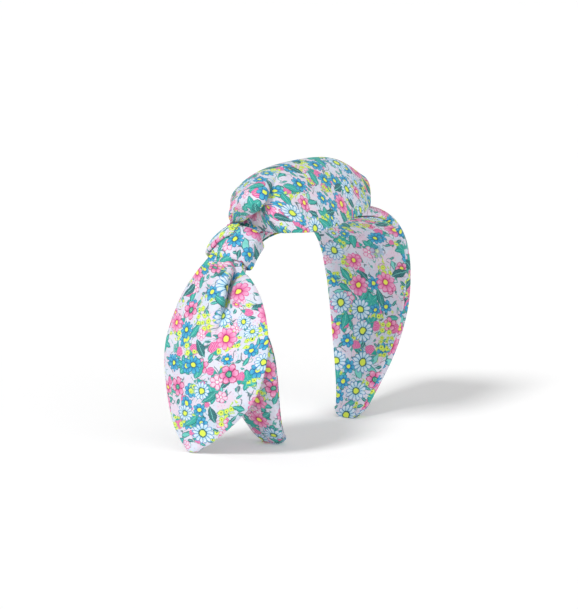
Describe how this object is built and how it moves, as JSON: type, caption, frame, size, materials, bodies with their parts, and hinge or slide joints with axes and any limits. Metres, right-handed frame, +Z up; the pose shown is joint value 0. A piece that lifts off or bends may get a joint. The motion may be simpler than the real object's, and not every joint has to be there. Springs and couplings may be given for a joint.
{
  "type": "knotted headband",
  "caption": "Padded, fabric-covered alice band with a floral print and a bow knotted at one side, its two leaf-shaped tails spreading over the crown and down the arm.",
  "frame": {"origin": "middle of the underside of the overall box, on the surface the feet rest on", "axes": "+Z up towards the crown; +X from the knotted side to the plain side; -Y is the front edge of the band, +Y its back edge"},
  "size_m": [0.172, 0.0712, 0.1568],
  "materials": {
    "printed_cotton": "plain-weave cotton with a floral print in pink, blue, teal and lime",
    "interfacing": "stiff non-woven, white",
    "padding_foam": "soft open-cell foam, off-white",
    "hoop_plastic": "satin moulding"
  },
  "bodies": {
    "crown": {"core_crown": "hoop_plastic", "foam_crown": "padding_foam", "cover_crown": "printed_cotton", "lining_crown": "printed_cotton", "knot_wrap": "printed_cotton", "knot_crossover": "printed_cotton", "bow_waist": "printed_cotton"},
    "knot_side_arm": {"core_knot_arm": "hoop_plastic", "foam_knot_arm": "padding_foam", "cover_knot_arm": "printed_cotton", "lining_knot_arm": "printed_cotton", "tip_fold_knot_arm": "printed_cotton"},
    "plain_side_arm": {"core_plain_arm": "hoop_plastic", "foam_plain_arm": "padding_foam", "cover_plain_arm": "printed_cotton", "lining_plain_arm": "printed_cotton", "tip_fold_plain_arm": "printed_cotton"},
    "upper_tail": {"upper_tail_face": "printed_cotton", "upper_tail_interfacing": "interfacing", "upper_tail_backing": "printed_cotton"},
    "lower_tail": {"lower_tail_face": "printed_cotton", "lower_tail_interfacing": "interfacing", "lower_tail_backing": "printed_cotton"}
  },
  "joints": [
    {"name": "knot_arm_flex", "type": "hinge", "parent": "crown", "child": "knot_side_arm", "pos_m": [-0.061, 0, 0.1095], "axis": [0, 1, 0], "range_deg": [0, 12], "stiffness_Nm_per_rad": 1.2},
    {"name": "plain_arm_flex", "type": "hinge", "parent": "crown", "child": "plain_side_arm", "pos_m": [0.0788, 0, 0.1046], "axis": [0, -1, 0], "range_deg": [0, 12], "stiffness_Nm_per_rad": 1.2},
    {"name": "upper_tail_lift", "type": "hinge", "parent": "crown", "child": "upper_tail", "pos_m": [-0.041, 0, 0.1285], "axis": [0, -1, 0], "range_deg": [0, 60], "stiffness_Nm_per_rad": 0.02, "springref_deg": -17.19},
    {"name": "lower_tail_lift", "type": "hinge", "parent": "knot_side_arm", "child": "lower_tail", "pos_m": [-0.061, 0, 0.1095], "axis": [0, 1, 0], "range_deg": [0, 60], "stiffness_Nm_per_rad": 0.02, "springref_deg": -17.19}
  ]
}
